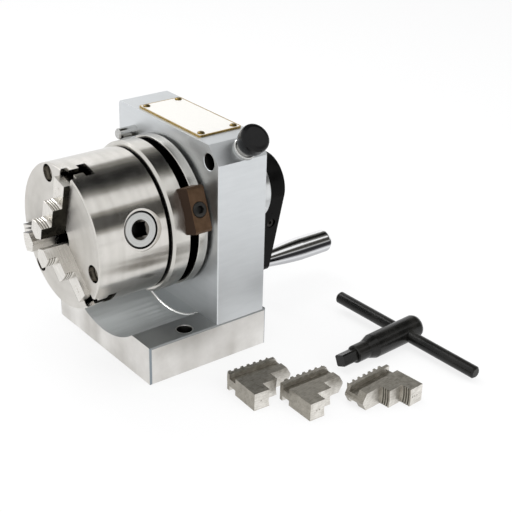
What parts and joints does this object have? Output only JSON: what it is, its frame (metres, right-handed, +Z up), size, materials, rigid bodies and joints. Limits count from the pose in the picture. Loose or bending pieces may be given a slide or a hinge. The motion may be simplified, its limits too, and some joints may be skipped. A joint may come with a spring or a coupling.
{
  "type": "punch former",
  "caption": "Punch forming fixture with a geared three-jaw chuck on a cranked indexing spindle, its chuck key and a spare set of outside jaws.",
  "frame": {"origin": "on the ground underside of the base, below the spindle line, halfway along the base", "axes": "+Z up, -Y the way that the chuck faces along the spindle, +X to the right seen from the chuck side"},
  "size_m": [0.2472, 0.2536, 0.1697],
  "materials": {
    "ground_steel": "ground, warm grey",
    "pale_steel": "ground and light",
    "turned_steel": "fine turned and polished",
    "bright_steel": "polished",
    "black_steel": "black oxide",
    "bronze": "turned bronze",
    "jaw_steel": "hardened and ground",
    "dull_steel": "hardened, dull",
    "browned_steel": "heat treated brown",
    "black_plastic": "moulded, glossy",
    "plate_aluminium": "bare plate with a gold rim",
    "brass": "polished"
  },
  "bodies": {
    "frame": {"base": "ground_steel", "upright": "pale_steel", "housing_screws": "black_steel", "locating_dowels": "bright_steel", "nameplate": "plate_aluminium", "nameplate_rivets": "brass", "stop_pin": "bright_steel", "plunger_lock_screw": "black_steel", "plunger_barrel": "bright_steel", "plunger_spring": "black_steel", "front_bush": "bronze", "thrust_washer": "bronze", "rear_housing": "turned_steel", "rear_housing_screws": "black_steel", "rear_bush": "bronze"},
    "spindle_unit": {"spindle": "turned_steel", "slotted_flange": "turned_steel", "flange_pins": "bright_steel", "index_ring": "bright_steel", "index_key": "black_steel", "lock_nut": "black_steel", "chuck_plate": "turned_steel", "plate_screws": "black_steel", "chuck_body": "turned_steel", "chuck_screws": "black_steel", "chuck_rear_cover": "turned_steel", "cover_screws": "black_steel", "pinion_pins": "bright_steel", "crank_arm": "black_steel", "crank_clamp_screw": "black_steel", "handle_axle": "black_steel"},
    "dog": {"dog_block": "browned_steel", "dog_tee_nut": "black_steel", "dog_screw": "black_steel"},
    "scroll": {"scroll_plate": "black_steel"},
    "inside_jaw_1": {"jaw_1": "jaw_steel"},
    "inside_jaw_2": {"jaw_2": "jaw_steel"},
    "inside_jaw_3": {"jaw_3": "jaw_steel"},
    "key_pinion_1": {"pinion_1": "black_steel"},
    "key_pinion_2": {"pinion_2": "black_steel"},
    "key_pinion_3": {"pinion_3": "black_steel"},
    "index_plunger": {"plunger_pin": "bright_steel", "plunger_knob": "black_plastic"},
    "crank_handle": {"handle_grip": "bright_steel"},
    "chuck_key": {"key_body": "black_steel", "key_bar": "black_steel"},
    "outside_jaw_1": {"spare_jaw_1": "dull_steel"},
    "outside_jaw_2": {"spare_jaw_2": "dull_steel"},
    "outside_jaw_3": {"spare_jaw_3": "dull_steel"}
  },
  "joints": [
    {"name": "spindle_spin", "type": "hinge", "parent": "frame", "child": "spindle_unit", "pos_m": [0, 0, 0.0951], "axis": [0, -1, 0], "range_deg": [-210, 75]},
    {"name": "dog_set", "type": "hinge", "parent": "spindle_unit", "child": "dog", "pos_m": [0, -0.007, 0.0951], "axis": [0, -1, 0], "range_deg": [-15, 15]},
    {"name": "scroll_turn", "type": "hinge", "parent": "spindle_unit", "child": "scroll", "pos_m": [0, -0.06, 0.0951], "axis": [0, 1, 0], "range_deg": [-144, 1008]},
    {"name": "jaw_1_slide", "type": "slide", "parent": "spindle_unit", "child": "inside_jaw_1", "axis": [0.2368, 0, 0.9715], "range_m": [-0.002, 0.014]},
    {"name": "jaw_2_slide", "type": "slide", "parent": "spindle_unit", "child": "inside_jaw_2", "axis": [-0.9598, 0, -0.2807], "range_m": [-0.002, 0.014]},
    {"name": "jaw_3_slide", "type": "slide", "parent": "spindle_unit", "child": "inside_jaw_3", "axis": [0.723, 0, -0.6909], "range_m": [-0.002, 0.014]},
    {"name": "pinion_1_turn", "type": "hinge", "parent": "spindle_unit", "child": "key_pinion_1", "pos_m": [0, -0.0437, 0.0951], "axis": [0.9598, 0, 0.2807], "range_deg": [-576, 4032]},
    {"name": "pinion_2_turn", "type": "hinge", "parent": "spindle_unit", "child": "key_pinion_2", "pos_m": [0, -0.0437, 0.0951], "axis": [-0.723, 0, 0.6909], "range_deg": [-576, 4032]},
    {"name": "pinion_3_turn", "type": "hinge", "parent": "spindle_unit", "child": "key_pinion_3", "pos_m": [0, -0.0437, 0.0951], "axis": [-0.2368, 0, -0.9715], "range_deg": [-576, 4032]},
    {"name": "plunger_slide", "type": "slide", "parent": "frame", "child": "index_plunger", "axis": [0.7071, 0, 0.7071], "range_m": [-0.0032, 0]},
    {"name": "handle_turn", "type": "hinge", "parent": "spindle_unit", "child": "crank_handle", "pos_m": [0, 0.12, 0.0289], "axis": [0, 1, 0], "continuous": true},
    {"name": "key_lift", "type": "slide", "parent": "frame", "child": "chuck_key", "axis": [0, 0, 1], "range_m": [0, 0.04]},
    {"name": "outside_jaw_1_lift", "type": "slide", "parent": "frame", "child": "outside_jaw_1", "axis": [0, 0, 1], "range_m": [0, 0.1]},
    {"name": "outside_jaw_2_lift", "type": "slide", "parent": "frame", "child": "outside_jaw_2", "axis": [0, 0, 1], "range_m": [0, 0.1]},
    {"name": "outside_jaw_3_lift", "type": "slide", "parent": "frame", "child": "outside_jaw_3", "axis": [0, 0, 1], "range_m": [0, 0.1]}
  ],
  "couplings": [
    {"joint": "jaw_1_slide", "follows": "scroll_turn", "m_per_rad": 0.00079577},
    {"joint": "jaw_2_slide", "follows": "scroll_turn", "m_per_rad": 0.00079577},
    {"joint": "jaw_3_slide", "follows": "scroll_turn", "m_per_rad": 0.00079577},
    {"joint": "pinion_1_turn", "follows": "scroll_turn", "ratio": 4},
    {"joint": "pinion_2_turn", "follows": "scroll_turn", "ratio": 4},
    {"joint": "pinion_3_turn", "follows": "scroll_turn", "ratio": 4}
  ]
}
